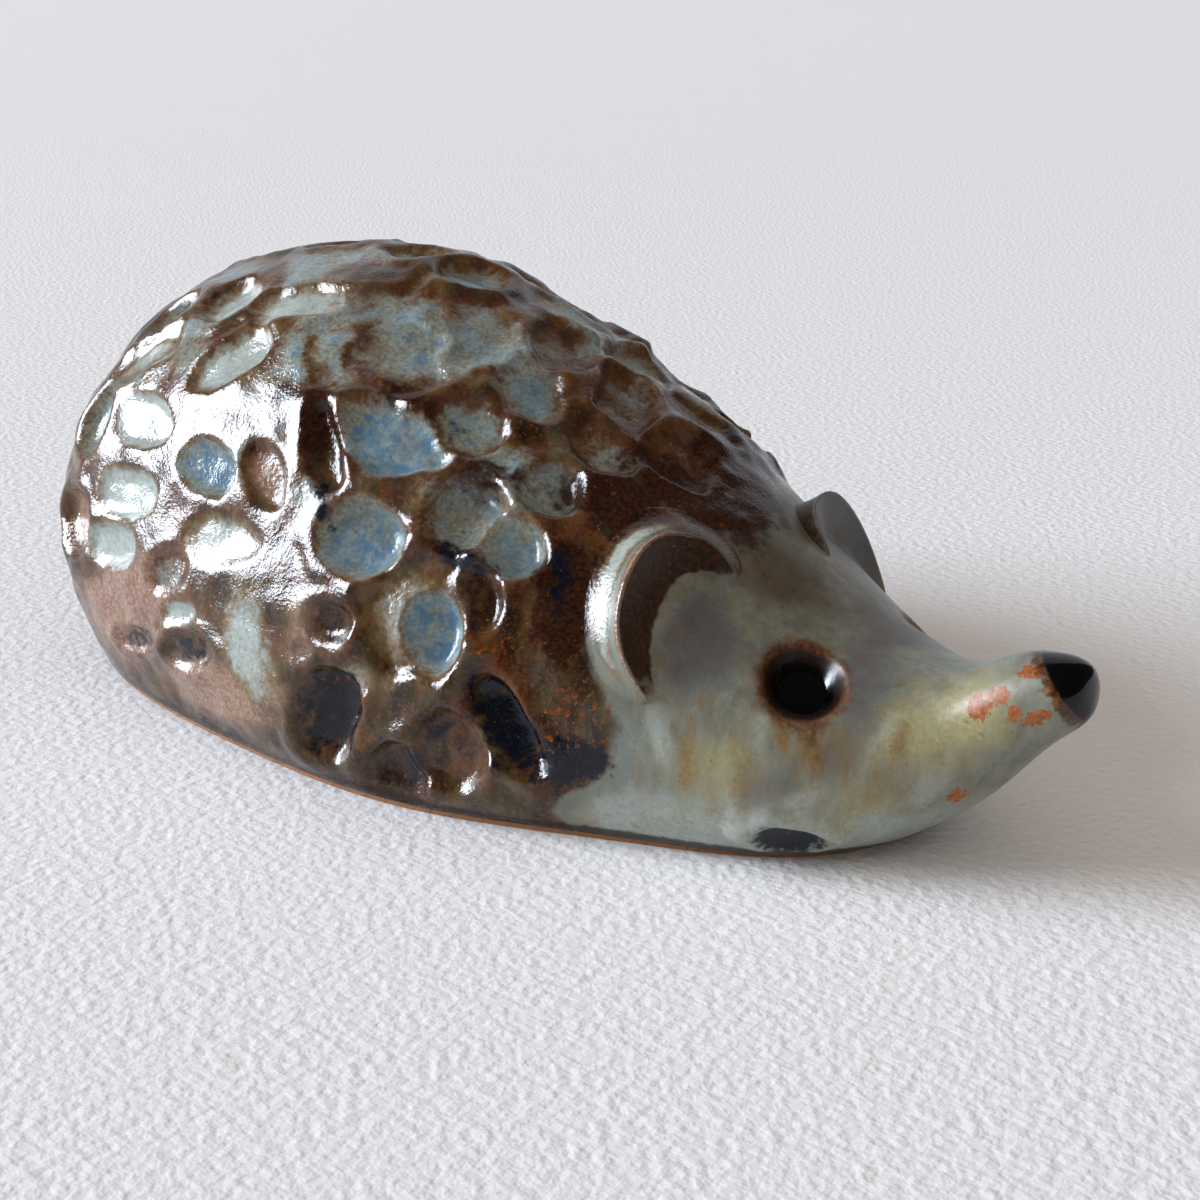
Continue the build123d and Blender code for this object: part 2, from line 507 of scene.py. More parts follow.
@dataclass
class Seat:
    """A mark laid on the skin: its centre, the half axes of its oval, and the skin's outward direction."""

    centre: np.ndarray
    across: np.ndarray
    down: np.ndarray
    outward: np.ndarray
    mark: Mark

    def mirrored(self) -> "Seat":
        """Lays the mark on the other side."""
        return Seat(self.centre * FLIP, self.across * FLIP, self.down * FLIP, self.outward * FLIP, self.mark)

    def size(self) -> float:
        """Mean of the oval's two half axes."""
        return (np.linalg.norm(self.across) + np.linalg.norm(self.down)) / 2

    def deeper(self, points: np.ndarray) -> np.ndarray:
        """Share of the press's depth that each point gets, since the tool leaned to the right."""
        along = (points - self.centre) @ self.across / (self.across @ self.across)
        return 1 + self.mark.lean * np.clip(along, -1, 1)

    def reach(self, points: np.ndarray, normals: np.ndarray) -> tuple[np.ndarray, np.ndarray]:
        """Finds the points near the mark and how far they are from its centre.

        Args:
            points: Points on the skin.
            normals: The skin's outward directions there.

        Returns:
            Places of the near points in the list, and their distances, 1 at the oval's edge.
        """
        size = max(np.linalg.norm(self.across), np.linalg.norm(self.down))
        offset = points - self.centre
        close = np.einsum("ij,ij->i", offset, offset) < (MARK_REACH * size) ** 2
        near = np.flatnonzero(close & (normals @ self.outward > MARK_FACING))
        plane = np.linalg.pinv(np.stack([self.across, self.down], axis=1))
        wander = fractal(points[near], STRAY_SIZE, 2)
        return near, np.linalg.norm(offset[near] @ plane.T, axis=1) * (1 + self.mark.stray * wander)


# Presses and pools on the side that the photograph shows, in the order they were made
PRESSES = (
    Mark(152, 356, 40, 11, Tint.PALE, 0.3, -38, 0.7, 0.1, 0.3),
    Mark(232, 362, 52, 20, Tint.PALE, 0.55, -32, 1.0, 0.15, 0.35),
    Mark(303, 302, 46, 17, Tint.PALE, 0.45, -8, 1.0, 0.15, 0.35),
    Mark(340, 350, 36, 40, Tint.BLUE, 0.3, 20, 0.85, 0.05, 0.5),
    Mark(415, 330, 66, 52, Tint.BLUE, 0.7, 20, 0.95, 0.1, 0.5),
    Mark(480, 330, 44, 34, Tint.BLUE, 0.5, 30, 0.75, 0.1, 0.5),
    Mark(392, 440, 66, 36, Tint.BLUE, 0.85, 10, 1.15, 0.15, 0.4),
    Mark(470, 425, 44, 30, Tint.BLUE, 0.6, 20, 0.85, 0.1, 0.45),
    Mark(532, 388, 40, 30, Tint.BLUE, 0.7, 15, 0.95, 0.15, 0.4),
    Mark(600, 440, 44, 26, Tint.BLUE, 0.5, 30, 0.5, 0.15, 0.4),
    Mark(560, 345, 40, 22, Tint.BLUE, 0.5, 35, 0.5, 0.3, 0.4),
    Mark(630, 400, 40, 24, Tint.BLUE, 0.7, 40, 0.5, 0.3, 0.4),
    Mark(680, 455, 42, 22, Tint.BLUE, 0.6, 42, 0.42, 0.25, 0.4),
    Mark(142, 420, 27, 29, Tint.PALE, 0.8, 0, 1.0, 0.0, 0.22, 0.6),
    Mark(203, 466, 30, 27, Tint.BLUE, 0.9, 0, 1.1, 0.0, 0.22, 0.7),
    Mark(125, 494, 28, 28, Tint.PALE, 0.76, 0, 1.0, 0.0, 0.22, 0.4),
    Mark(108, 546, 24, 24, Tint.PALE, 0.76, 0, 1.0, 0.0, 0.22, 0.4),
    Mark(326, 452, 20, 60, Tint.SMOKE, 0.7, 0, 0.4, 0.2, 0.35, 0.0),
    Mark(165, 572, 22, 25, Tint.BLUE, 0.5, 0, 0.6, 0.0),
    Mark(216, 540, 38, 28, Tint.PALE, 0.35, 0, 0.8, 0.0),
    Mark(262, 474, 22, 36, Tint.TAN, 0.6, 0, 0.6, 0.0),
    Mark(178, 614, 17, 17, Tint.PALE, 0.4, 0, 1.0, 0.1),
    Mark(188, 650, 26, 18, Tint.INK, 0.5, 30, 0.6),
    Mark(135, 640, 20, 14, Tint.INK, 0.45, 20, 0.6),
    Mark(362, 538, 44, 40, Tint.BLUE, 1.25, 0, 1.2, 0.3, 0.12, 0.45),
    Mark(330, 622, 26, 22, Tint.IRON, 0.6, 0, 0.8, 0.15),
    Mark(550, 487, 36, 30, Tint.BLUE, 0.8, 10, 0.85),
    Mark(466, 512, 42, 38, Tint.BLUE, 1.05, -35, 0.85, 0.35),
    Mark(514, 546, 32, 32, Tint.BLUE, 1.0, 0, 1.0, 0.35),
    Mark(478, 602, 24, 34, Tint.IRON, 0.7, 0, 0.6, 0.25),
    Mark(412, 618, 50, 62, Tint.PALE, 0.6, 20, 0.62, 0.4),
    Mark(431, 632, 31, 44, Tint.BLUE, 1.05, -4, 1.1, 0.35, 0.15, 0.4),
    Mark(352, 680, 20, 22, Tint.PALE, 0.3, 0, 0.6, 0.1, 0.4),
    Mark(326, 718, 32, 46, Tint.INK, 1.15, -12, 0.85, 0.25, 0.3),
    Mark(394, 778, 38, 34, Tint.IRON, 0.8, 0, 0.6, 0.3),
    Mark(446, 752, 42, 38, Tint.TAN, 0.8, 0, 0.3, 0.3),
    Mark(505, 728, 25, 60, Tint.INK, 1.3, -32, 1.05, 0.3, 0.2),
    Mark(790, 840, 34, 17, Tint.INK, 0.35, 6, 1.6, 0.6, 0.4),
)

# Presses of the rump, the crown and the tail's end, where the solids have them too
HIDDEN_PRESSES = (
    HiddenPress(0.4, 15, 2.7, Tint.PALE),
    HiddenPress(2.5, 35, 3.2, Tint.BLUE),
    HiddenPress(4.0, 5, 2.7, Tint.INK),
    HiddenPress(5.5, 62, 2.7, Tint.PALE),
    HiddenPress(11.0, 8, 3.2, Tint.TAN),
    HiddenPress(12.0, 31, 3.2, Tint.BLUE),
    HiddenPress(13.0, 58, 3.2, Tint.BLUE),
    HiddenPress(21.0, 62, 3.2, Tint.PALE, 0.6),
    HiddenPress(0.6, 90, 3.2, Tint.BLUE),
    HiddenPress(4.5, 90, 3.2, Tint.PALE),
    HiddenPress(13.0, 90, 3.2, Tint.BLUE),
    HiddenPress(22.0, 90, 3.2, Tint.BLUE),
    HiddenPress(31.0, 90, 3.2, Tint.PALE, 0.7),
    HiddenPress(37.5, 90, 3.2, Tint.BLUE, 0.7),
)

# Washes of colour with no press under them
WASHES = (
    wash(248, 645, 26, 68, Tint.PALE, -14, 0.8),
    wash(478, 340, 84, 40, Tint.BLUE, 12, 0.85, 0.6),
    wash(330, 320, 60, 28, Tint.BLUE, -14, 0.75, 0.6),
    wash(572, 708, 36, 38, Tint.RUST, 0, 0.27, 0.6),
    wash(500, 640, 22, 40, Tint.RUST, -20, 0.24, 0.6),
    wash(610, 452, 30, 21, Tint.BLUE, 22, 0.72, 0.5),
    wash(640, 390, 28, 17, Tint.BLUE, 25, 0.62, 0.5),
    wash(735, 518, 26, 13, Tint.BLUE, 25, 0.5, 0.5),
    # Painted light: the next two tan washes stand for the bright light that falls on the lower left flank
    wash(125, 605, 66, 66, Tint.TAN, 0, 1.0),
    wash(215, 690, 76, 34, Tint.TAN, 20, 0.9),
    wash(300, 640, 26, 50, Tint.TAN, 0, 0.5, 0.5),
    wash(390, 680, 14, 40, Tint.PALE, 20, 0.4, 0.5),
    wash(312, 425, 32, 42, Tint.IRON, 0, 1.0, 0.5),
    wash(412, 402, 62, 20, Tint.IRON, 38, 0.8, 0.5),
    wash(290, 396, 34, 16, Tint.IRON, -20, 0.7, 0.5),
    wash(490, 470, 80, 22, Tint.IRON, 12, 0.7, 0.5),
    wash(690, 490, 84, 30, Tint.IRON, 30, 1.1, 0.4),
    wash(620, 500, 64, 30, Tint.IRON, 20, 1.2, 0.4),
    wash(566, 600, 32, 92, Tint.IRON, 8, 1.4, 0.5),
    wash(560, 585, 12, 56, Tint.INK, 8, 0.7, 0.6),
    wash(582, 764, 34, 24, Tint.INK, 0, 1.2, 0.6),
    wash(410, 776, 13, 26, Tint.INK, 0, 0.7, 0.4),
    wash(432, 736, 18, 14, Tint.INK, -30, 0.6, 0.4),
    wash(320, 500, 14, 46, Tint.INK, 0, 0.7, 0.6),
    wash(455, 555, 40, 12, Tint.INK, 25, 0.6, 0.6),
    wash(690, 762, 14, 44, Tint.OCHRE, 0, 0.68, 0.6),
    wash(780, 722, 10, 34, Tint.OCHRE, -8, 1.2, 0.5),
    wash(808, 735, 13, 36, Tint.OCHRE, -6, 1.2, 0.5),
    wash(812, 716, 10, 26, Tint.IRON, -4, 0.75, 0.6),
    wash(838, 750, 12, 32, Tint.OCHRE, -25, 0.7, 0.5),
    wash(745, 770, 10, 40, Tint.OCHRE, 8, 0.6, 0.5),
    wash(900, 740, 14, 44, Tint.OCHRE, 30, 0.6, 0.5),
    wash(940, 725, 80, 46, Tint.OLIVE, -22, 1.0, 0.3),
    wash(720, 770, 60, 46, Tint.OLIVE, 0, 0.55, 0.5),
    wash(860, 800, 44, 24, Tint.OLIVE, -10, 0.6, 0.5),
    wash(790, 575, 74, 34, Tint.SMOKE, 35, 1.0, 0.3),
    wash(720, 545, 60, 26, Tint.SMOKE, 15, 0.8, 0.3),
    wash(880, 620, 50, 26, Tint.SMOKE, 38, 0.75, 0.3),
    wash(705, 640, 46, 64, Tint.LILAC, 0, 1.0, 0.5),
    wash(865, 670, 40, 52, Tint.LILAC, 25, 0.75, 0.5),
    wash(770, 790, 36, 22, Tint.LILAC, -20, 0.5, 0.3),
    wash(979, 708, 13, 10, Tint.RUST, -20, 1.05, 0.6),
    wash(1000, 694, 15, 10, Tint.RUST, -25, 1.05, 0.6),
    wash(1014, 714, 10, 12, Tint.RUST, 0, 1.0, 0.6),
    wash(1032, 672, 19, 9, Tint.RUST, -8, 1.25, 0.5),
    wash(1038, 717, 22, 9, Tint.RUST, -20, 1.25, 0.5),
    wash(1054, 692, 9, 20, Tint.RUST, -20, 1.25, 0.5),
    wash(1034, 694, 14, 12, Tint.PALE, -20, 1.0, 0.4),
    wash(957, 796, 11, 6, Tint.RUST, -20, 1.0),
    wash(884, 742, 15, 66, Tint.MILK, 32, 0.9, 0.5),
    wash(760, 735, 12, 50, Tint.MILK, 10, 0.6, 0.5),
    wash(660, 735, 16, 40, Tint.MILK, -15, 0.8, 0.5),
    wash(800, 800, 40, 12, Tint.MILK, -15, 0.8, 0.5),
    wash(930, 790, 16, 40, Tint.MILK, 40, 0.7, 0.5),
)

# Back edge of the face's glaze, as points of the photograph from the ridge down to the foot
FACE_EDGE = (
    (770, 524), (720, 526), (670, 530), (622, 548), (592, 590), (586, 640), (602, 690), (620, 725),
    (612, 765), (590, 786), (560, 796), (552, 812), (572, 828),
)


@dataclass(frozen=True)
class EyeForm:
    """Socket, pool and glaze of an eye, in millimetres.

    The far eye is lower and smaller, since the photograph shows nothing of it.
    """

    pixel: Pair = (804, 677)
    socket_radius: float = 2.9
    socket_depth: float = 1.9
    # How flat the socket's floor is, where 1 is a plain bowl
    socket_floor: float = 1.15
    # Distances from the eye where the black pool, the dark pit and the brown ring end and are full
    pool_fade: Pair = (2.8, 1.6)
    pit_fade: Pair = (3.4, 2.2)
    ring_fade: Pair = (4.3, 2.4)
    # Share by which the glaze has run below the eye
    run: float = 0.26
    far_drop: float = 2.2
    far_shrink: float = 0.7
    far_pit: float = 0.7
    far_ring: float = 1.5


@dataclass(frozen=True)
class NoseForm:
    """Chin, seam and black glaze of the snout's tip, in millimetres and degrees."""

    # The snout is fuller under its tip than the smooth form
    chin: Triple = (47.2, 0.0, 14.4)
    chin_fullness: float = 0.6
    chin_reach: float = 2.2
    seam: Triple = (44.9, 0.0, 15.5)
    seam_tilt: float = 30.0
    # Edge of the black glaze, which sweeps forward to both sides, and the brown that it breaks to
    black_from: Triple = (45.5, 0.0, 15.6)
    black_tilt: float = 41.0
    black_sweep: float = 0.4
    black_fade: Pair = (-0.7, 0.7)
    brown_fade: Pair = (-1.6, -0.1)
    brown_share: float = 0.9


@dataclass(frozen=True)
class HandWork:
    """How the tool and the hand worked the clay, in millimetres and in shares of a mark's size."""

    press_gain: float = 1.35
    # Where a press takes over from what was there, its floor's curve and end, and its rim's place and width
    press_edge: Pair = (1.16, 0.88)
    floor_curve: float = 0.2
    floor_end: float = -0.1
    rim_place: float = 1.22
    rim_width: float = 0.28
    # Most that an oval is drawn out where the skin turns away, and the half length that is always let be
    drawn_out: float = 2.2
    let_be: float = 2.6
    # Half width of the ridge, whose marks have no twin, its lift, and the room that a twin needs
    ridge_half: float = 1.5
    ridge_lift: float = 80.0
    twin_room: float = 0.8
    # Lumps that the hand left and finer pits, with their heights on the back and on the face
    lump_size: float = 13.0
    lump_height: float = 0.7
    face_lump_height: float = 0.12
    pit_size: float = 4.5
    pit_height: float = 0.3
    # Where the lumps end before the face, and the heights where all the working starts over the foot
    back_fade: Pair = (1.0, -3.0)
    foot_fade: Pair = (0.3, 3.0)


@dataclass(frozen=True)
class GlazeFlow:
    """How the glaze ran and pooled on the skin, in millimetres and in shares of a mark's size."""

    # Blue that drifts over the upper back: its size, the heights where it comes in, its mean, swing and most
    drift_size: float = 8.0
    drift_heights: Pair = (13.0, 27.0)
    drift_mean: float = 0.42
    drift_swing: float = 0.9
    drift_most: float = 0.9
    # Where a press clears the colours that were there, and where a mark's own colour ends
    clear_edge: Pair = (1.12, 0.8)
    colour_end: float = 1.28
    # Presses deeper than this hold a pool with a crisp edge, and other colours fade out softly
    crisp_depth: float = 0.75
    crisp_edge: float = 0.56
    soft_edge: float = 0.9
    # Width of the edge of the face's glaze, and heights of its milky foot and of the dark line over the clay
    face_width: float = 4.0
    milk_heights: Pair = (9.0, 2.5)
    line_heights: Pair = (1.9, 0.7)


@dataclass
class Skin:
    """Pressed and lumpy skin of the animal, with a mask for each colour that its glaze breaks to."""

    form: BodyForm
    camera: PhotoCamera
    eye: EyeForm = EyeForm()
    nose: NoseForm = NoseForm()
    hand: HandWork = HandWork()
    flow: GlazeFlow = GlazeFlow()
    meridians: int = 300
    rings: int = 300
    seats: list[Seat] = field(default_factory=list)

    def __post_init__(self) -> None:
        """Makes the smooth skin and lays the marks on it."""
        self.smooth = bmesh.new()
        bmesh.ops.create_uvsphere(self.smooth, u_segments=self.meridians, v_segments=self.rings, radius=1)
        ball = np.array([vertex.co for vertex in self.smooth.verts])
        along = 1 - np.arccos(np.clip(ball[:, 2], -1, 1)) / math.pi
        self.points = self.form.skin(along, np.arctan2(ball[:, 1], ball[:, 0]))
        for vertex, point in zip(self.smooth.verts, self.points):
            vertex.co = point
        self.smooth.normal_update()
        self.normals = np.array([vertex.normal for vertex in self.smooth.verts])
        self.tree = BVHTree.FromBMesh(self.smooth)
        near = self.seen(*self.eye.pixel)
        far, _ = self.nearest(near * FLIP - np.array([0.0, 0.0, self.eye.far_drop]))
        self.eye_places = {Side.RIGHT: near, Side.LEFT: far}
        self.edge_turn, self.edge_x = self.face_edge()
        self.lay_marks()

    def seen(self, x: float, y: float) -> np.ndarray | None:
        """Point of the smooth skin that one point of the photograph shows.

        Args:
            x: Pixels from the left edge.
            y: Pixels from the top edge.

        Returns:
            The point in millimetres, or nothing where the photograph shows the background.
        """
        hit = self.tree.ray_cast(*self.camera.ray(x, y))[0]
        return np.array(hit) if hit else None

    def nearest(self, point: np.ndarray) -> tuple[np.ndarray, np.ndarray]:
        """Nearest point of the smooth skin, and the skin's outward direction there."""
        place, normal, _, _ = self.tree.find_nearest(Vector(point))
        return np.array(place), np.array(normal)

    def face_edge(self) -> tuple[np.ndarray, np.ndarray]:
        """Reads the back edge of the face's glaze off the skin.

        Returns:
            Turn round the body of the edge's points, rising, and their x.
        """
        points = np.array([self.seen(*pixel) for pixel in FACE_EDGE])
        turns = self.form.turn_of(points)
        order = np.argsort(turns)
        return turns[order], points[order, 0]

    def seat(self, mark: Mark) -> Seat | None:
        """Lays one mark of the photograph on the skin.

        Args:
            mark: The mark.

        Returns:
            The laid mark, or nothing where it misses the animal.
        """
        lean = math.radians(mark.turn)
        ends = []
        for half, turn in ((mark.half_width, lean), (mark.half_height, lean + math.pi / 2)):
            ends.append((half * math.cos(turn), half * math.sin(turn)))
        centre = self.seen(mark.x, mark.y)
        if centre is None:
            return None
        axes = []
        for right, down in ends:
            tips = [self.seen(mark.x + sign * right, mark.y + sign * down) for sign in (1, -1)]
            spans = [sign * (tip - centre) for sign, tip in zip((1, -1), tips) if tip is not None]
            if not spans:
                return None
            axes.append(np.mean(spans, axis=0))
        _, outward = self.nearest(centre)
        axes = [axis - outward * (axis @ outward) for axis in axes]
        shorter = min(np.linalg.norm(axis) for axis in axes)
        longest = max(self.hand.drawn_out * shorter, self.hand.let_be)
        axes = [axis * min(1.0, longest / np.linalg.norm(axis)) for axis in axes]
        return Seat(centre, axes[0], axes[1], outward, mark)

    def lay_marks(self) -> None:
        """Lays the photograph's marks and their twins on the far side, and adds the presses that it hides."""
        shown = [seat for seat in map(self.seat, PRESSES + WASHES) if seat]
        centres = np.array([seat.centre for seat in shown if seat.mark.depth])
        twins = [seat.mirrored() for seat in shown if seat.centre[1] < -self.hand.ridge_half]
        hidden = [self.hidden_seat(press) for press in HIDDEN_PRESSES]
        hidden += [seat.mirrored() for seat in hidden if seat.centre[1] < -self.hand.ridge_half]
        extra = []
        for seat in twins + hidden:
            clear = np.linalg.norm(centres - seat.centre, axis=1).min() > self.hand.twin_room * seat.size()
            if clear or not seat.mark.depth:
                extra.append(seat)
        self.seats = sorted(extra + shown, key=lambda seat: not seat.mark.depth)

    def hidden_seat(self, press: HiddenPress) -> Seat:
        """Lays a press that the photograph doesn't show on the right side or on the ridge.

        Args:
            press: The press.

        Returns:
            The laid press.
        """
        x = self.form.stations[0].x + press.from_tail
        half_width, half_height, level = self.form.section(np.array([x]))
        lift = math.radians(press.lift)
        reach = 1 / math.hypot(math.cos(lift) / half_width[0], math.sin(lift) / half_height[0])
        spot = np.array([x, -reach * math.cos(lift), level[0] + reach * math.sin(lift)])
        centre, outward = self.nearest(spot)
        on_ridge = press.lift > self.hand.ridge_lift
        along = np.cross(outward, (0.0, 1.0, 0.0) if on_ridge else (0.0, 0.0, 1.0))
        along /= np.linalg.norm(along)
        mark = Mark(0, 0, 0, 0, press.tint, press.depth)
        return Seat(centre, along * press.radius, np.cross(along, outward) * press.radius, outward, mark)

    def face_distance(self, points: np.ndarray) -> np.ndarray:
        """How far each point lies in front of the back edge of the face's glaze, along the body."""
        return points[:, 0] - np.interp(self.form.turn_of(points), self.edge_turn, self.edge_x)

    def nose_distance(self, points: np.ndarray) -> np.ndarray:
        """Finds how far each point lies beyond the edge of the nose's black glaze.

        Args:
            points: Points on the smooth skin.

        Returns:
            Distances in millimetres, negative behind the edge.
        """
        tilt = math.radians(self.nose.black_tilt)
        ahead = (points - np.array(self.nose.black_from)) @ np.array([math.cos(tilt), 0.0, math.sin(tilt)])
        return ahead - self.nose.black_sweep * np.abs(points[:, 1])

    def eye_distance(self, points: np.ndarray) -> np.ndarray:
        """Finds how far each point is from the eye on its side, shorter below it where the ring has run.

        Args:
            points: Points on the smooth skin.

        Returns:
            Distances in millimetres.
        """
        far = points[:, 1] > 0
        offset = points - np.where(far[:, None], self.eye_places[Side.LEFT], self.eye_places[Side.RIGHT])
        below = np.clip(-offset[:, 2], 0, None)
        return np.linalg.norm(offset, axis=1) - self.eye.run * below + self.eye.far_shrink * far

    def masks(self, points: np.ndarray, normals: np.ndarray) -> dict[str, np.ndarray]:
        """Works out where the glaze breaks to each of its colours.

        Args:
            points: Points on the smooth skin.
            normals: The skin's outward directions there.

        Returns:
            A mask for each colour, about 0.5 at its edge.
        """
        made = {tint.value: np.zeros(len(points)) for tint in Tint}
        flow, height = self.flow, points[:, 2]
        drift = fractal(points, flow.drift_size, 3)
        level = np.clip(flow.drift_mean + flow.drift_swing * drift, 0, flow.drift_most)
        made["blue"] = ease(*flow.drift_heights, height) * level
        for seat in self.seats:
            near, far_off = seat.reach(points, normals)
            if seat.mark.depth:
                inside = ease(*flow.clear_edge, far_off)
                for mask in made.values():
                    mask[near] *= 1 - inside
            crisp = seat.mark.depth > flow.crisp_depth and seat.mark.tint in (Tint.BLUE, Tint.PALE)
            edge = flow.crisp_edge if crisp else flow.soft_edge
            level = seat.mark.strength * np.clip((flow.colour_end - far_off) / edge, 0, 1)
            mask = made[seat.mark.tint.value]
            mask[near] = np.maximum(mask[near], level)
        front = self.face_distance(points)
        eye = self.eye_distance(points)
        nose = self.nose_distance(points)
        far = points[:, 1] > 0
        made["face"] = np.clip(0.5 + front / flow.face_width, 0, 1)
        milk = ease(*flow.milk_heights, height) * ease(0.0, flow.face_width, front)
        made["milk"] = np.maximum(made["milk"], milk)
        made["ring"] = ease(*self.eye.ring_fade, eye + self.eye.far_ring * far)
        made["pit"] = ease(*self.eye.pit_fade, eye + self.eye.far_pit * far)
        made["black"] = np.maximum(ease(*self.eye.pool_fade, eye), ease(*self.nose.black_fade, nose))
        made["break"] = self.nose.brown_share * ease(*self.nose.brown_fade, nose)
        made["line"] = ease(*flow.line_heights, height)
        return made

    def relief(self) -> np.ndarray:
        """Works out how far the presses, their rims and the hand's lumps move each point of the skin.

        Returns:
            Distance along the outward direction for each point, in millimetres.
        """
        hand = self.hand
        back = ease(*hand.back_fade, self.face_distance(self.points))
        pressed = np.zeros(len(self.points))
        for seat in self.seats:
            if not seat.mark.depth:
                continue
            near, far_off = seat.reach(self.points, self.normals)
            inside = ease(*hand.press_edge, far_off)
            floor = 1 - hand.floor_curve * far_off**2 - (1 - hand.floor_curve) * far_off**8
            bowl = -hand.press_gain * seat.mark.depth * np.clip(floor, hand.floor_end, 1)
            bowl *= seat.deeper(self.points[near])
            rim = seat.mark.rim * band(hand.rim_place, hand.rim_width, far_off)
            pressed[near] = pressed[near] * (1 - inside) + bowl * inside + rim
        lumps = np.array([noise.noise(Vector(point) / hand.lump_size) for point in self.points])
        pits = fractal(self.points, hand.pit_size, 3)
        rough = back * (hand.lump_height * lumps + hand.pit_height * pits)
        worked = pressed + rough + (1 - back) * hand.face_lump_height * lumps
        eye = self.eye_distance(self.points) / self.eye.socket_radius
        socket = -self.eye.socket_depth * np.clip(self.eye.socket_floor - eye**2, 0, 1)
        chin = np.linalg.norm(self.points - np.array(self.nose.chin), axis=1)
        full = self.nose.chin_fullness * band(0.0, self.nose.chin_reach, chin)
        return worked * ease(*hand.foot_fade, self.points[:, 2]) + socket + full

    def shaped(self) -> BMesh:
        """Presses a copy of the smooth skin and stores the masks of its glaze.

        Returns:
            The pressed skin, in millimetres.
        """
        body = self.smooth.copy()
        moved = self.points + self.normals * self.relief()[:, None]
        moved[:, 2] = np.maximum(moved[:, 2], np.minimum(self.points[:, 2], self.form.edge_height))
        store_masks(body, self.masks(self.points, self.normals))
        for vertex, point in zip(body.verts, moved):
            vertex.co = point
        clear = self.form.edge_height + self.hand.foot_fade[0]
        soften(body, [vertex for vertex in body.verts if vertex.co.z > clear])
        return body


def store_masks(mesh: BMesh, masks: dict[str, np.ndarray]) -> None:
    """Stores masks on a mesh's vertices, where its material reads them.

    Args:
        mesh: The mesh.
        masks: Values for each vertex, under the names that the material knows.
    """
    for name, values in masks.items():
        layer = mesh.verts.layers.float.new(name)
        for vertex, value in zip(mesh.verts, values):
            vertex[layer] = value


def put_in_scene(mesh: BMesh, name: str, material: Material) -> Object:
    """Puts a mesh in the scene as an object at the origin.

    Args:
        mesh: The mesh in metres, which is freed.
        name: Name of the object.
        material: Its finish.

    Returns:
        The object.
    """
    data = bpy.data.meshes.new(name)
    mesh.to_mesh(data)
    mesh.free()
    data.materials.append(material)
    made = bpy.data.objects.new(name, data)
    bpy.context.scene.collection.objects.link(made)
    return made


def finish_piece(mesh: BMesh, name: str, node: str, material: Material) -> None:
    """Makes a smooth-shaded piece of the figurine, which stands for a node and rides with it.

    Args:
        mesh: The mesh in millimetres, which is freed.
        name: Name of the piece.
        node: Node that the piece stands for.
        material: Finish of the piece.
    """
    bmesh.ops.scale(mesh, vec=(MM, MM, MM), verts=mesh.verts)
    piece = put_in_scene(mesh, name, material)
    piece.data.shade_smooth()
    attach(piece, "root")
    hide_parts(node)
    log.info("%s: %d faces", name, len(piece.data.polygons))


@dataclass(frozen=True)
class GlazeLayer:
    """One colour of the running glaze: two tones, how it breaks up at its edge, and how much it covers."""

    mask: str
    tone: str
    thin_tone: str
    at: float = 0.5
    grain: float = 1.2
    breakup: float = 0.5
    edge: float = 0.2
    cover: float = 1.0
    # How much finer the pattern is round the body than down it, where the glaze ran
    run: float = 1.0


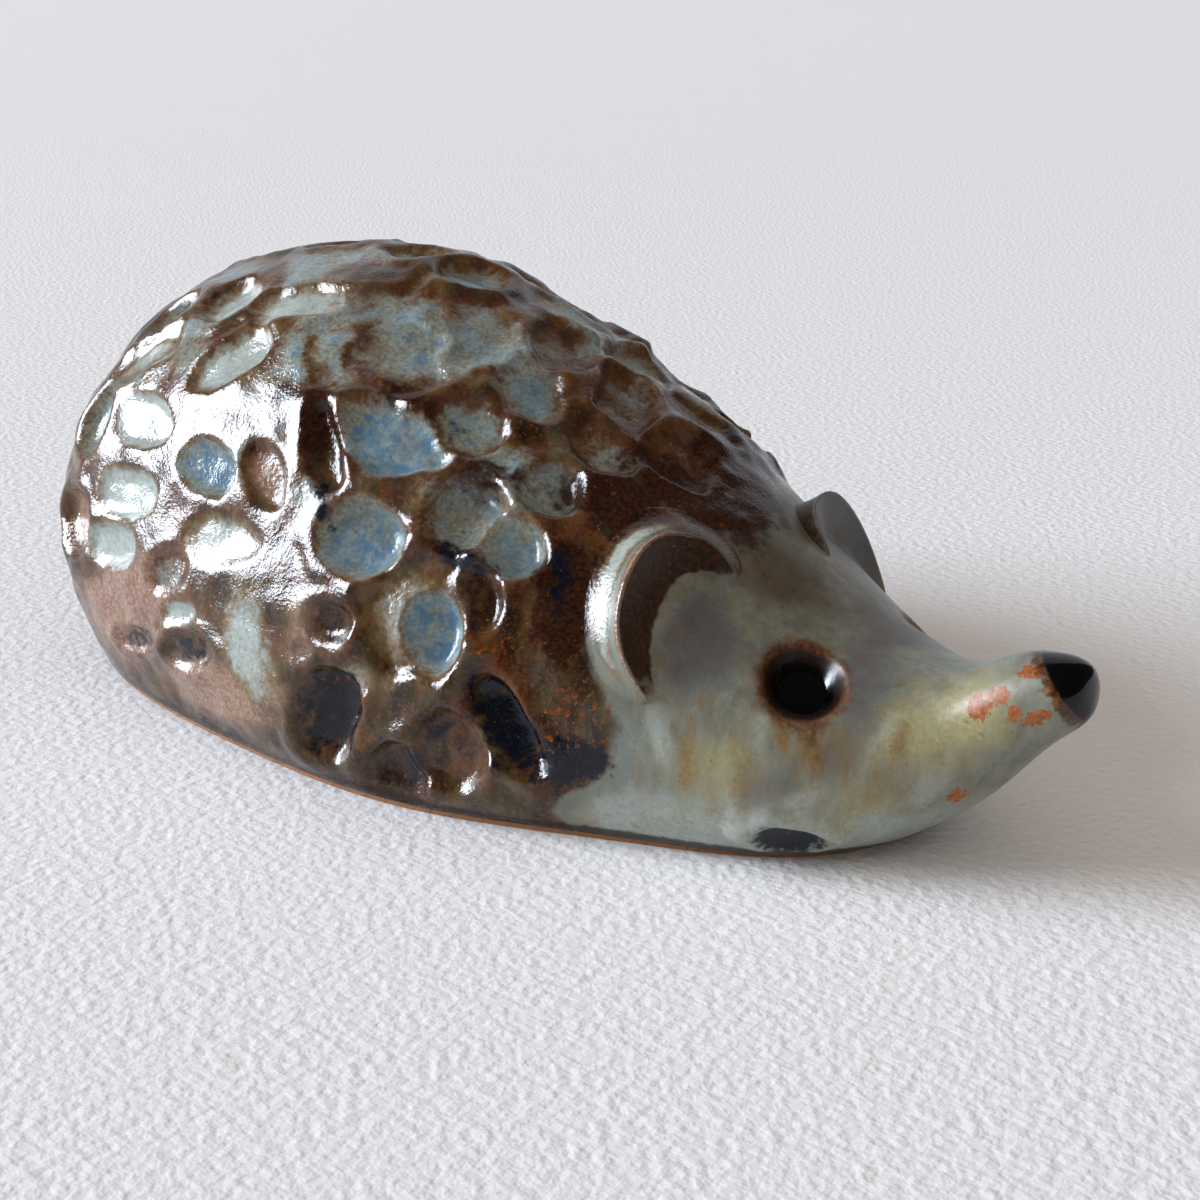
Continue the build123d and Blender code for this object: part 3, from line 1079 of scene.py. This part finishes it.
@dataclass(frozen=True)
class RunningGlaze:
    """Reduction-fired stoneware glaze that ran and pooled in the kiln.

    It breaks to iron brown on the ridges, pools to a speckled milky blue in the presses and is thick, smooth
    and wet-looking all over, so the eye sees deep colour under a sharp gloss.
    """

    thick: str = "#170b08"
    broken: str = "#55290f"
    fleck: str = "#724026"
    speck: str = "#100a07"
    layers: tuple[GlazeLayer, ...] = (
        # Tan of some presses and of the ears' rims, and painted light where it lies on the lower left flank
        GlazeLayer("tan", "#b69688", "#825d47", 0.5, 1.6, 0.9, 0.35, 0.85),
        GlazeLayer("blue", "#63351b", "#351a10", 0.3, 0.9, 0.6, 0.16, 0.9),
        GlazeLayer("blue", "#7a6753", "#553a27", 0.5, 0.8, 0.8, 0.18, 0.9),
        GlazeLayer("blue", "#95a4a2", "#757d70", 0.64, 0.9, 0.9, 0.24, 0.95),
        GlazeLayer("blue", "#7aa3bc", "#6c95ab", 1.0, 2.6, 2.4, 0.4, 0.65),
        GlazeLayer("blue", "#2a6799", "#4a80a2", 1.22, 1.0, 2.8, 0.3, 0.75),
        GlazeLayer("pale", "#857052", "#634c33", 0.34, 0.9, 0.6, 0.18, 0.9),
        GlazeLayer("pale", "#b2c4c8", "#a3ada3", 0.58, 1.0, 0.9, 0.24, 0.95),
        GlazeLayer("face", "#6f7a76", "#787e72", 0.5, 2.2, 0.5, 0.12, 1.0, 2.0),
        GlazeLayer("face", "#5c6767", "#868d82", 1.02, 2.8, 2.4, 0.6, 0.7, 1.6),
        GlazeLayer("face", "#8d9384", "#969782", 1.16, 1.1, 3.0, 0.5, 0.5, 3.0),
        GlazeLayer("face", "#55574c", "#4f4e41", 1.22, 1.5, 3.0, 0.5, 0.55, 2.4),
        GlazeLayer("face", "#7d6a3e", "#6f5c33", 1.3, 0.9, 3.0, 0.3, 0.5, 3.0),
        GlazeLayer("milk", "#adb8b3", "#9aa59f", 0.5, 3.4, 1.0, 0.5, 0.8, 2.0),
        GlazeLayer("olive", "#b0a676", "#989164", 0.5, 2.4, 1.2, 0.7, 0.8, 2.5),
        GlazeLayer("lilac", "#4c5159", "#565a61", 0.5, 2.8, 0.9, 0.6, 0.85, 2.0),
        GlazeLayer("smoke", "#4a3f31", "#3c3226", 0.5, 2.2, 1.0, 0.65, 0.8, 1.5),
        GlazeLayer("ochre", "#84642c", "#6a4d22", 0.46, 1.2, 1.6, 0.7, 0.75, 3.5),
        GlazeLayer("iron", "#170b07", "#40210f", 0.5, 1.0, 1.3, 0.25, 0.95),
        GlazeLayer("ink", "#040a18", "#0f1828", 0.46, 0.8, 1.7, 0.25, 0.97),
        GlazeLayer("rust", "#b0601c", "#733a12", 0.52, 0.45, 2.6, 0.14, 0.92),
        GlazeLayer("ring", "#74441c", "#3a1f0d", 0.46, 0.9, 1.2, 0.4, 0.95),
        GlazeLayer("pit", "#1c0f08", "#0e0805", 0.5, 0.7, 0.4, 0.3, 0.95),
        GlazeLayer("break", "#5f3415", "#1d110b", 0.6, 0.6, 1.3, 0.2, 0.9),
        GlazeLayer("line", "#1d1410", "#2a1b14", 0.5, 1.3, 0.8, 0.2, 0.9),
        GlazeLayer("black", "#020203", "#050506", 0.5, 0.6, 0.4, 0.12, 1.0),
    )
    # Sizes of the patterns in millimetres, with the spans of their values that show and the shares that show
    mottle: float = 2.6
    mottle_span: Pair = (0.46, 0.66)
    grain_size: float = 0.36
    fleck_span: Pair = (0.53, 0.62)
    fleck_share: float = 0.55
    hollow_span: Pair = (0.46, 0.38)
    hollow_share: float = 0.6
    tone_span: Pair = (0.35, 0.65)
    speck_gap: float = 2.6
    speck_span: Pair = (0.12, 0.06)
    speck_share: float = 0.6
    # Waves of the surface, and its grain, which is coarse on the back and fine on the face
    orange_peel: float = 1.4
    peel_depth: float = 0.15
    peel_strength: float = 0.25
    grain_depth: float = 0.08
    grain_strength: Pair = (0.75, 0.1)
    # Gloss of the back, of the face and of the black glaze
    roughness: Pair = (0.15, 0.34)
    black_roughness: float = 0.08
    face_span: Pair = (0.3, 0.7)
    ior: float = 1.39

    def material(self, name: str) -> Material:
        """Builds the glaze's node material.

        Args:
            name: Name of the material.

        Returns:
            The material.
        """
        made, tree = blank_material(name)
        place = add_node(tree, "ShaderNodeTexCoord").outputs["Object"]
        mottle = add_node(
            tree,
            "ShaderNodeTexNoise",
            {"Vector": place, "Scale": per_mm(self.mottle), "Detail": 4.0, "Roughness": 0.6},
        )
        grain = add_node(
            tree,
            "ShaderNodeTexNoise",
            {"Vector": place, "Scale": per_mm(self.grain_size), "Detail": 2.0, "Roughness": 0.7},
        )
        spread = add_node(
            tree,
            "ShaderNodeMapRange",
            {"Value": mottle, "From Min": self.mottle_span[0], "From Max": self.mottle_span[1]},
            interpolation_type="SMOOTHSTEP",
        )
        base = {0: spread, 6: linear(self.thick), 7: linear(self.broken)}
        colour = add_node(tree, "ShaderNodeMix", base, data_type="RGBA")
        colour = break_to(tree, colour, grain, self.fleck_span, self.fleck_share, self.fleck)
        colour = break_to(tree, colour, grain, self.hollow_span, self.hollow_share, self.speck)
        for layer in self.layers:
            colour = self.lay(tree, layer, colour, place, grain)
        dots = add_node(
            tree,
            "ShaderNodeTexVoronoi",
            {"Vector": place, "Scale": per_mm(self.speck_gap), "Detail": 1.0, "Roughness": 1.0},
        )
        colour = break_to(tree, colour, dots, self.speck_span, self.speck_share, self.speck)
        peel = add_node(
            tree, "ShaderNodeTexNoise", {"Vector": place, "Scale": per_mm(self.orange_peel), "Detail": 2.0}
        )
        waves = add_node(
            tree,
            "ShaderNodeBump",
            {"Height": peel, "Strength": self.peel_strength, "Distance": self.peel_depth * MM},
        )
        face = add_node(tree, "ShaderNodeAttribute", attribute_name="face").outputs["Fac"]
        low, high = self.face_span
        coarse, dull = (
            add_node(
                tree,
                "ShaderNodeMapRange",
                {"Value": face, "From Min": low, "From Max": high, "To Min": on_back, "To Max": on_face},
            )
            for on_back, on_face in (self.grain_strength, self.roughness)
        )
        black = add_node(tree, "ShaderNodeAttribute", attribute_name="black").outputs["Fac"]
        sheen = add_node(tree, "ShaderNodeMix", {0: black, 2: dull, 3: self.black_roughness})
        bump = add_node(
            tree,
            "ShaderNodeBump",
            {"Height": grain, "Strength": coarse, "Distance": self.grain_depth * MM, "Normal": waves},
        )
        shader = add_node(
            tree,
            "ShaderNodeBsdfPrincipled",
            {"Base Color": colour, "Roughness": sheen, "IOR": self.ior, "Normal": bump},
        )
        add_node(tree, "ShaderNodeOutputMaterial", {"Surface": shader})
        return made

    def lay(
        self,
        tree: NodeTree,
        layer: GlazeLayer,
        under: Node,
        place: NodeSocket,
        grain: Node,
    ) -> Node:
        """Lays one colour of the glaze over what is under it.

        Args:
            tree: Node tree of the material.
            layer: The colour.
            under: Colour so far.
            place: Object coordinates.
            grain: Fine grain that varies the tone.

        Returns:
            The colour with the layer on it.
        """
        mask = add_node(tree, "ShaderNodeAttribute", attribute_name=layer.mask).outputs["Fac"]
        stretched = add_node(
            tree, "ShaderNodeVectorMath", {0: place, 1: (1.0, 1.0, 1.0 / layer.run)}, operation="MULTIPLY"
        )
        ragged = add_node(
            tree,
            "ShaderNodeTexNoise",
            {"Vector": stretched, "Scale": per_mm(layer.grain), "Detail": 3.0, "Roughness": 0.6},
        )
        edge = add_node(
            tree, "ShaderNodeMath", {0: ragged, 1: layer.breakup, 2: mask}, operation="MULTIPLY_ADD"
        )
        middle = layer.at + 0.5 * layer.breakup
        low, high = middle - layer.edge, middle + layer.edge
        cover = add_node(
            tree,
            "ShaderNodeMapRange",
            {"Value": edge, "From Min": low, "From Max": high, "To Max": layer.cover},
            interpolation_type="SMOOTHSTEP",
        )
        tone = add_node(
            tree,
            "ShaderNodeMapRange",
            {"Value": grain, "From Min": self.tone_span[0], "From Max": self.tone_span[1]},
        )
        tones = {0: tone, 6: linear(layer.tone), 7: linear(layer.thin_tone)}
        own = add_node(tree, "ShaderNodeMix", tones, data_type="RGBA")
        return add_node(tree, "ShaderNodeMix", {0: cover, 6: under, 7: own}, data_type="RGBA")


@dataclass(frozen=True)
class BareClay:
    """Toasted stoneware, wiped clean of glaze so that it doesn't stick to the kiln shelf.

    It is matt and slightly sandy, orange-brown where the flame flashed it.
    """

    flashed: str = "#a5673a"
    pale: str = "#b98a5e"
    grit: str = "#6d4022"
    # Sizes of the flashing and of the grit in millimetres, and the values of the grit's pattern that show
    flash_size: float = 9.0
    grit_size: float = 0.5
    grit_span: Pair = (0.58, 0.7)
    grit_share: float = 0.6
    grit_depth: float = 0.1
    grit_strength: float = 0.5
    roughness: float = 0.85

    def material(self, name: str) -> Material:
        """Builds the clay's node material.

        Args:
            name: Name of the material.

        Returns:
            The material.
        """
        made, tree = blank_material(name)
        place = add_node(tree, "ShaderNodeTexCoord").outputs["Object"]
        flash, sand = (
            add_node(
                tree, "ShaderNodeTexNoise", {"Vector": place, "Scale": per_mm(size), "Detail": detail}
            )
            for size, detail in ((self.flash_size, 3.0), (self.grit_size, 2.0))
        )
        base = {0: flash, 6: linear(self.flashed), 7: linear(self.pale)}
        colour = add_node(tree, "ShaderNodeMix", base, data_type="RGBA")
        colour = break_to(tree, colour, sand, self.grit_span, self.grit_share, self.grit)
        bump = add_node(
            tree,
            "ShaderNodeBump",
            {"Height": sand, "Strength": self.grit_strength, "Distance": self.grit_depth * MM},
        )
        shader = add_node(
            tree,
            "ShaderNodeBsdfPrincipled",
            {"Base Color": colour, "Roughness": self.roughness, "Normal": bump},
        )
        add_node(tree, "ShaderNodeOutputMaterial", {"Surface": shader})
        return made


@dataclass
class PressedBody:
    """The pinched dome with its head and snout, and the dark tip that ends the snout."""

    skin: Skin

    def build(self, glaze: Material) -> None:
        """Cuts the pressed skin at the nose's seam and makes both pieces.

        Args:
            glaze: Finish of both.
        """
        tilt = math.radians(self.skin.nose.seam_tilt)
        across = (math.cos(tilt), 0, math.sin(tilt))
        seam = {"plane_co": self.skin.nose.seam, "plane_no": across, "dist": 1e-5}
        body = self.skin.shaped()
        tip = body.copy()
        for mesh, side in ((body, {"clear_outer": True}), (tip, {"clear_inner": True})):
            parts = mesh.verts[:] + mesh.edges[:] + mesh.faces[:]
            cut = bmesh.ops.bisect_plane(mesh, geom=parts, **seam, **side)
            edges = [part for part in cut["geom_cut"] if isinstance(part, BMEdge)]
            for edge in edges:
                edge.smooth = False
            bmesh.ops.edgenet_fill(mesh, edges=edges)
            bmesh.ops.recalc_face_normals(mesh, faces=mesh.faces)
        finish_piece(body, "pressed_body", "body_shell", glaze)
        finish_piece(tip, "dark_nose", "nose_tip", glaze)


@dataclass
class BaseSlab:
    """Slab that closes the hollow and is the foot, with its vent. Sizes are in millimetres."""

    form: BodyForm
    segments: int = 240
    inset: float = 0.06
    thickness: float = 4.4
    taper: float = 2.6
    vent_x: float = -7.5
    vent_radius: float = 3.0
    # Points that measure the foot's outline, and its least half width
    outline_steps: int = 4000
    least_reach: float = 0.05

    def build(self, clay: Material) -> None:
        """Makes the slab from its outline and its vent.

        Args:
            clay: Finish of the slab.
        """
        mesh = bmesh.new()
        outline = bmesh.ops.create_circle(mesh, segments=self.segments, radius=1)["verts"]
        along = np.linspace(self.form.stations[0].x, self.form.stations[-1].x, self.outline_steps)
        stands = along[self.form.foot_half_width(along) > self.inset]
        for vertex in outline:
            share = (1 + vertex.co.x) / 2
            x = stands[0] + (stands[-1] - stands[0]) * share
            reach = float(self.form.foot_half_width(np.array([x]))[0]) - self.inset
            vertex.co = (x, math.copysign(max(reach, self.least_reach), vertex.co.y), 0)
        vent = bmesh.ops.create_circle(mesh, segments=self.segments, radius=self.vent_radius)["verts"]
        bmesh.ops.translate(mesh, vec=(self.vent_x, 0, 0), verts=vent)
        under = bmesh.ops.bridge_loops(mesh, edges=mesh.edges[:])["faces"]
        raised = bmesh.ops.extrude_face_region(mesh, geom=under, use_keep_orig=True)["geom"]
        top = [part for part in raised if isinstance(part, BMVert)]
        bmesh.ops.translate(mesh, vec=(0, 0, self.thickness), verts=top)
        for vertex in top:
            if math.hypot(vertex.co.x - self.vent_x, vertex.co.y) > self.vent_radius + self.taper:
                vertex.co -= (vertex.co - Vector((self.vent_x, 0, vertex.co.z))).normalized() * self.taper
        bmesh.ops.recalc_face_normals(mesh, faces=mesh.faces)
        finish_piece(mesh, "foot_slab", "base_slab", clay)


@dataclass(frozen=True)
class EarGlaze:
    """Where the glaze of an ear breaks, as places across the crescent and along its rim, and how strongly."""

    # Dark inner wall, from under the rim to the foot
    wall_rim: Pair = (0.0, 0.12)
    wall_foot: Pair = (1.0, 0.62)
    wall_iron: float = 1.7
    # Places and widths of the pale streak and the tan rim, and where along the rim the streak comes in
    streak: Pair = (-0.34, 0.17)
    streak_rise: Pair = (4.0, 9.0)
    streak_pale: float = 0.9
    rim: Pair = (-0.03, 0.06)
    # Outer slope of the upper front end, which has the back's glaze
    slope_edge: Pair = (-0.02, -0.2)
    slope_end: Pair = (8.0, 4.0)
    # The far ear's wall is grey, and its outer slope is dark
    far_wall_lilac: float = 1.5
    far_slope: Pair = (0.0, -0.15)
    far_slope_iron: float = 1.3


@dataclass
class Ear:
    """Crescent of clay pinched up from the head, open to the front. Sizes are in millimetres."""

    skin: Skin
    side: Side
    # The rim as points of the photograph, from the upper front end round the back to the lower front end
    rim: tuple[Pair, ...] = (
        (738, 578), (716, 557), (690, 547), (662, 549), (639, 566), (624, 598), (620, 634), (629, 668),
        (650, 703),
    )
    # Length that the rim counts as, the step that finds its direction, and how full its ends are
    span: float = 20.0
    step: float = 0.3
    fullness: float = 0.55
    height: float = 2.7
    # Share of the height at the rim's upper front end, and the places along it where it rises and is full
    front_share: float = 0.6
    front_rise: Pair = (4.0, 11.0)
    # Runs of the outer and inner slopes, how hollow they are, and the share of their width that the ends keep
    outer_run: float = 4.2
    inner_run: float = 3.2
    outer_hollow: float = 2.2
    inner_hollow: float = 1.5
    end_width: float = 0.12
    # The far ear stands farther forward, and is slimmer
    far_forward: float = 1.5
    far_outer_run: float = 1.3
    # How far the slopes' feet are tucked under the skin, and the hidden underside
    tuck: float = 0.1
    sunk: float = 0.8
    breaks: EarGlaze = EarGlaze()
    steps_round: int = 90
    steps_across: int = 44

    def rim_line(self) -> tuple[Rail, Rail, Rail]:
        """Draws a smooth line of the rim on the skin.

        Returns:
            Each coordinate of the line against the way along it.
        """
        points = np.array([self.skin.seen(*pixel) for pixel in self.rim])
        shares = np.linspace(0, self.span, len(points)).tolist()
        return tuple(Rail.through(shares, points[:, axis].tolist(), None) for axis in range(3))

    def build(self, glaze: Material) -> None:
        """Raises the crescent from a strip that is laid along the rim.

        Args:
            glaze: Finish of the ear.
        """
        line = self.rim_line()
        far = self.side is Side.LEFT
        outer_run = self.far_outer_run if far else self.outer_run
        mesh = bmesh.new()
        bmesh.ops.create_grid(mesh, x_segments=self.steps_round, y_segments=self.steps_across, size=1)
        below = bmesh.ops.extrude_face_region(mesh, geom=mesh.faces[:], use_keep_orig=True)["geom"]
        hidden = {part for part in below if isinstance(part, BMVert)}
        bases, outs, across = [], [], []
        for vertex in mesh.verts:
            share, over = (1 + vertex.co.x) * self.span / 2, vertex.co.y
            spot = np.array([axis.at(share) for axis in line])
            if far:
                spot[0] += self.far_forward
            before, after = max(share - self.step, 0), min(share + self.step, self.span)
            ahead = np.array([axis.at(after) - axis.at(before) for axis in line])
            ahead /= np.linalg.norm(ahead)
            taper = math.sin(math.pi * min(max(share / self.span, 0), 1)) ** self.fullness
            _, outward = self.skin.nearest(spot)
            inwards = np.cross(outward, ahead)
            run = self.inner_run if over > 0 else outer_run
            offset = over * run * (self.end_width + (1 - self.end_width) * taper)
            base, outward = self.skin.nearest(spot + inwards * offset)
            slope = 1 - abs(over)
            lift = slope**self.outer_hollow if over < 0 else slope**self.inner_hollow
            risen = float(ease(*self.front_rise, np.array(share)))
            tall = self.height * (self.front_share + (1 - self.front_share) * risen)
            rise = tall * taper * lift - self.tuck * (1 - taper * slope)
            if vertex in hidden:
                rise = -self.sunk
            bases.append(base)
            outs.append(outward)
            across.append((over, taper, share))
            vertex.co = base + outward * rise
        points, normals = np.array(bases), np.array(outs)
        store_masks(mesh, self.dress(points, normals, *np.array(across).T))
        soften(mesh, [vertex for vertex in mesh.verts if vertex not in hidden])
        if far:
            bmesh.ops.scale(mesh, vec=(1, -1, 1), verts=mesh.verts)
        bmesh.ops.recalc_face_normals(mesh, faces=mesh.faces)
        name = f"{self.side.name.lower()}_ear"
        finish_piece(mesh, f"{name}_crescent", name, glaze)

    def dress(
        self, points: np.ndarray, normals: np.ndarray, over: np.ndarray, taper: np.ndarray, share: np.ndarray
    ) -> dict[str, np.ndarray]:
        """Works out the glaze of the crescent.

        Args:
            points: Points of the skin under it.
            normals: The skin's outward directions there.
            over: Places across the crescent, -1 at its outer foot, 0 on its rim and 1 at its inner foot.
            taper: How full the crescent is there.
            share: Places along the rim, from 0 at its upper front end to the span at its lower.

        Returns:
            A mask for each colour.
        """
        masks = self.skin.masks(points, normals)
        breaks = self.breaks
        wall = taper * ease(*breaks.wall_rim, over) * ease(*breaks.wall_foot, over)
        rim = band(*breaks.rim, over)
        laid = {"tan": rim}
        if self.side is Side.LEFT:
            laid["lilac"] = wall * breaks.far_wall_lilac
            laid["iron"] = taper * ease(*breaks.far_slope, over) * breaks.far_slope_iron
        else:
            streak = taper * band(*breaks.streak, over) * ease(*breaks.streak_rise, share)
            slope = ease(*breaks.slope_edge, over) * ease(*breaks.slope_end, share)
            laid["iron"] = wall * breaks.wall_iron
            laid["pale"] = streak * breaks.streak_pale
            masks["face"] *= 1 - np.maximum(np.maximum(streak, rim), slope)
        for name, level in laid.items():
            masks[name] = np.maximum(masks[name], level)
        return masks


@dataclass
class EyePool:
    """Pool of black glaze that ran to the bottom of a pressed socket. Sizes are in millimetres."""

    skin: Skin
    side: Side
    radius: float = 2.1
    half_thickness: float = 0.5
    depth: float = 1.75
    meridians: int = 64
    rings: int = 32

    def build(self, glaze: Material) -> None:
        """Flattens a ball to a drop and seats it in the socket.

        Args:
            glaze: Finish of the pool.
        """
        place, outward = self.skin.nearest(self.skin.eye_places[self.side])
        radius = self.radius - (self.skin.eye.far_shrink if self.side is Side.LEFT else 0)
        mesh = bmesh.new()
        bmesh.ops.create_uvsphere(mesh, u_segments=self.meridians, v_segments=self.rings, radius=1)
        bmesh.ops.scale(mesh, vec=(radius, radius, self.half_thickness), verts=mesh.verts)
        turned = Vector((0, 0, 1)).rotation_difference(Vector(outward)).to_matrix()
        bmesh.ops.rotate(mesh, cent=(0, 0, 0), matrix=turned, verts=mesh.verts)
        bmesh.ops.translate(mesh, vec=Vector(place - outward * self.depth), verts=mesh.verts)
        store_masks(mesh, {"black": np.ones(len(mesh.verts))})
        name = f"{self.side.name.lower()}_eye"
        finish_piece(mesh, f"{name}_pool", name, glaze)


@dataclass(frozen=True)
class Paper:
    """Cold-pressed cotton paper, matt and white, with the soft bumps of the felt that it was pressed on."""

    white: str = "#f0f2f5"
    # Size and depth of the bumps, in millimetres
    felt: float = 0.9
    felt_depth: float = 0.35
    felt_strength: float = 0.6
    roughness: float = 0.9

    def material(self, name: str) -> Material:
        """Builds the paper's node material.

        Args:
            name: Name of the material.

        Returns:
            The material.
        """
        made, tree = blank_material(name)
        place = add_node(tree, "ShaderNodeTexCoord").outputs["Object"]
        felt = add_node(
            tree,
            "ShaderNodeTexNoise",
            {"Vector": place, "Scale": per_mm(self.felt), "Detail": 2.0, "Roughness": 0.45},
        )
        bump = add_node(
            tree,
            "ShaderNodeBump",
            {"Height": felt, "Strength": self.felt_strength, "Distance": self.felt_depth * MM},
        )
        shader = add_node(
            tree,
            "ShaderNodeBsdfPrincipled",
            {"Base Color": linear(self.white), "Roughness": self.roughness, "Normal": bump},
        )
        add_node(tree, "ShaderNodeOutputMaterial", {"Surface": shader})
        return made


@dataclass(frozen=True)
class Lamp:
    """Soft, even light from far off, which may only light surfaces or only show as a reflection."""

    name: str
    light_from: Triple
    strength: float
    # Angle that it fills, in degrees
    width: float
    tint: str
    lights: bool = True
    reflects: bool = True

    def hang(self) -> None:
        """Adds the lamp to the scene."""
        data = bpy.data.lights.new(self.name, "SUN")
        data.energy = self.strength
        data.angle = math.radians(self.width)
        data.color = linear(self.tint)[:3]
        lamp = bpy.data.objects.new(self.name, data)
        lamp.rotation_euler = Vector(self.light_from).to_track_quat("Z", "Y").to_euler()
        lamp.visible_diffuse = self.lights
        lamp.visible_glossy = self.reflects
        bpy.context.scene.collection.objects.link(lamp)


@dataclass
class Studio:
    """Pale floor and backdrop, a window's light from behind on the left, and soft light from above."""

    floor_half: float = 6.0
    floor_squares: int = 8
    ambient: str = "#4c4744"
    # The window, its bright pane and the wall behind the figurine as reflections, and light from above
    lamps: tuple[Lamp, ...] = (
        Lamp("window", (-0.75, -0.57, 0.34), 4.1, 32.0, "#e9f2ff"),
        Lamp("window_pane", (-0.75, -0.57, 0.34), 8.8, 38.0, "#e9f2ff", lights=False),
        Lamp("wall", (-0.62, 0.75, 0.3), 0.8, 80.0, "#e9f2ff", lights=False),
        Lamp("sky", (0.2, -0.4, 0.9), 1.32, 120.0, "#fff0e3", reflects=False),
    )
    # Pale paper that hangs all round, as bright as the far floor
    backdrop_radius: float = 4.8
    backdrop_height: float = 6.0
    backdrop_segments: int = 96
    backdrop_white: str = "#dcdde1"

    def build(self) -> None:
        """Lays the floor, hangs the backdrop and the lamps and sets the world."""
        mesh = bmesh.new()
        squares = self.floor_squares
        bmesh.ops.create_grid(mesh, x_segments=squares, y_segments=squares, size=self.floor_half)
        floor = put_in_scene(mesh, "paper_floor", Paper().material("cold_pressed_paper"))
        self.hang_backdrop()
        for lamp in self.lamps:
            lamp.hang()
        world = bpy.data.worlds.new("room")
        world.use_nodes = True
        world.node_tree.nodes["Background"].inputs["Color"].default_value = linear(self.ambient)
        bpy.context.scene.world = world
        bpy.context.scene.view_settings.view_transform = "Standard"

    def hang_backdrop(self) -> None:
        """Hangs the paper behind the floor, which gives the figurine neither light nor reflections."""
        mesh = bmesh.new()
        bmesh.ops.create_cone(
            mesh,
            cap_ends=False,
            segments=self.backdrop_segments,
            radius1=self.backdrop_radius,
            radius2=self.backdrop_radius,
            depth=self.backdrop_height,
        )
        bmesh.ops.reverse_faces(mesh, faces=mesh.faces)
        made, tree = blank_material("even_paper")
        even = add_node(tree, "ShaderNodeEmission", {"Color": linear(self.backdrop_white)})
        add_node(tree, "ShaderNodeOutputMaterial", {"Surface": even})
        backdrop = put_in_scene(mesh, "paper_backdrop", made)
        backdrop.visible_diffuse = backdrop.visible_glossy = False
        backdrop.visible_transmission = backdrop.visible_shadow = False


def main() -> None:
    """Builds the figurine piece by piece, and the studio round it."""
    logging.basicConfig(level=logging.INFO, format="%(name)s: %(message)s")
    camera = PhotoCamera()
    form = BodyForm()
    skin = Skin(form, camera)
    log.info("marks on the skin: %d", len(skin.seats))
    glaze = RunningGlaze().material("running_stoneware_glaze")
    PressedBody(skin).build(glaze)
    BaseSlab(form).build(BareClay().material("bare_stoneware"))
    for side in Side:
        Ear(skin, side).build(glaze)
        EyePool(skin, side).build(glaze)
    Studio().build()
    camera.place()


if __name__ == "__main__":
    main()
